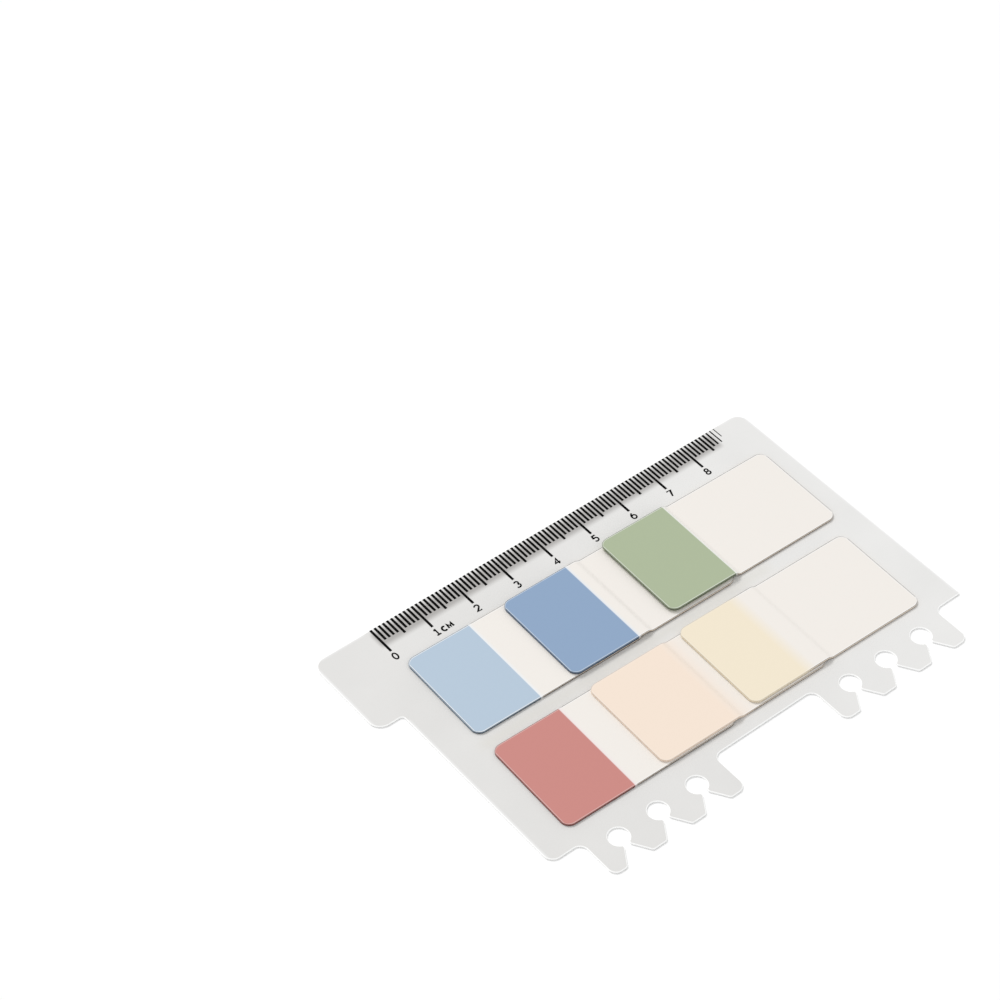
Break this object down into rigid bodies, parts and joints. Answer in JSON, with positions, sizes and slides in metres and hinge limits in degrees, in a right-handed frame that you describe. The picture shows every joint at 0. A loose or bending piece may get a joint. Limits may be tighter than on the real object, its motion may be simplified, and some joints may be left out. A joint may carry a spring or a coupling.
{
  "type": "binder flag card",
  "caption": "Frosted plastic snap-in binder card with open ring holes and a ruler edge, holding overlapping pads of coloured film flags.",
  "frame": {"origin": "centre of the card's outline on its flat back face", "axes": "+X along the ruler towards the larger numbers, +Y from the ring holes to the ruler edge, +Z out of the face that carries the pads"},
  "size_m": [0.1106, 0.0732, 0.0019],
  "materials": {
    "frosted_sheet": "frosted translucent sheet, fine matt grain",
    "ruler_ink": "black printed ink",
    "clear_film": "milky clear film, satin",
    "light_blue_ink": "translucent printed film, satin",
    "blue_ink": "translucent printed film, satin",
    "green_ink": "translucent printed film, satin",
    "red_ink": "translucent printed film, satin",
    "peach_ink": "translucent printed film, satin",
    "yellow_ink": "translucent printed film, satin"
  },
  "bodies": {
    "root": {"carrier_card": "frosted_sheet", "light_blue_pad": "clear_film", "blue_pad": "clear_film", "green_pad": "clear_film", "red_pad": "clear_film", "peach_pad": "clear_film", "yellow_pad": "clear_film", "light_blue_print": "light_blue_ink", "blue_print": "blue_ink", "green_print": "green_ink", "red_print": "red_ink", "peach_print": "peach_ink", "yellow_print": "yellow_ink"}
  },
  "joints": []
}
